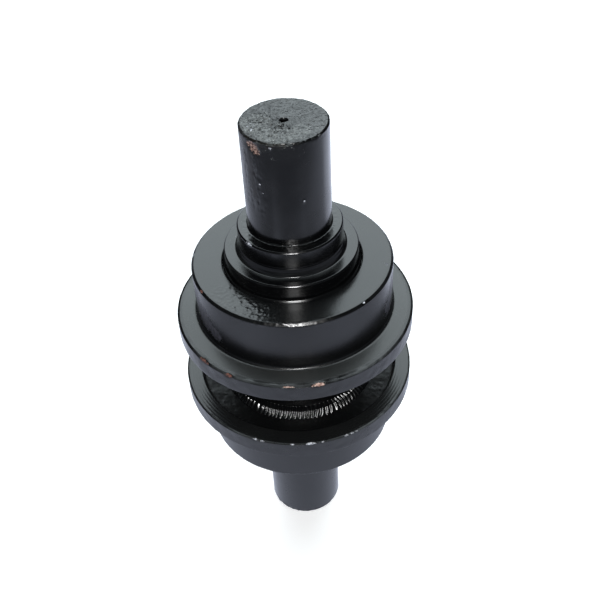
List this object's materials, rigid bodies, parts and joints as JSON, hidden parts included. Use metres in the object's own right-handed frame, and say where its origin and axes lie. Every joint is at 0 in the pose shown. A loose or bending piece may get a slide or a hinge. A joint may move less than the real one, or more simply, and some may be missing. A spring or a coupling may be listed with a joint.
{
  "type": "track roller",
  "caption": "Double-flanged crawler track roller turning on a fixed plain shaft, with pinned end collars, floating seals, bronze bushings and a welded shell.",
  "frame": {"origin": "middle of the roller, on the shaft's axis, half way between the two flanges", "axes": "+Z along the shaft's axis, away from the end with the oil plug; +Y towards the side with the collar pins"},
  "size_m": [0.194, 0.194, 0.422],
  "materials": {
    "shaft_paint": "glossy black paint over a rough turned steel bar",
    "collar_paint": "glossy black paint over a turned iron casting",
    "roller_paint": "glossy black paint over a forging with a turned tread, rim and end face",
    "weld_paint": "glossy black paint over a rippled weld bead",
    "pin_steel": "ground steel pin",
    "plug_steel": "plated steel plug",
    "washer_copper": "annealed copper",
    "bushing_bronze": "bored bronze",
    "seal_iron": "cast iron with a lapped face",
    "seal_rubber": "matt moulded rubber"
  },
  "bodies": {
    "shaft_assembly": {"shaft": "shaft_paint", "oil_plug": "plug_steel", "plug_washer": "washer_copper", "collar_upper": "collar_paint", "collar_lower": "collar_paint", "collar_pin_upper": "pin_steel", "collar_pin_lower": "pin_steel", "shaft_o_ring_upper": "seal_rubber", "shaft_o_ring_lower": "seal_rubber", "fixed_seal_ring_upper": "seal_iron", "fixed_seal_ring_lower": "seal_iron", "fixed_toric_ring_upper": "seal_rubber", "fixed_toric_ring_lower": "seal_rubber"},
    "roller": {"centre_tube": "roller_paint", "shell_upper": "roller_paint", "shell_lower": "roller_paint", "weld_bead_upper": "weld_paint", "weld_bead_lower": "weld_paint", "bushing_upper": "bushing_bronze", "bushing_lower": "bushing_bronze", "turning_seal_ring_upper": "seal_iron", "turning_seal_ring_lower": "seal_iron", "turning_toric_ring_upper": "seal_rubber", "turning_toric_ring_lower": "seal_rubber"}
  },
  "joints": [
    {"name": "roller_spin", "type": "hinge", "parent": "shaft_assembly", "child": "roller", "pos_m": [0, 0, 0], "axis": [0, 0, 1], "continuous": true}
  ]
}
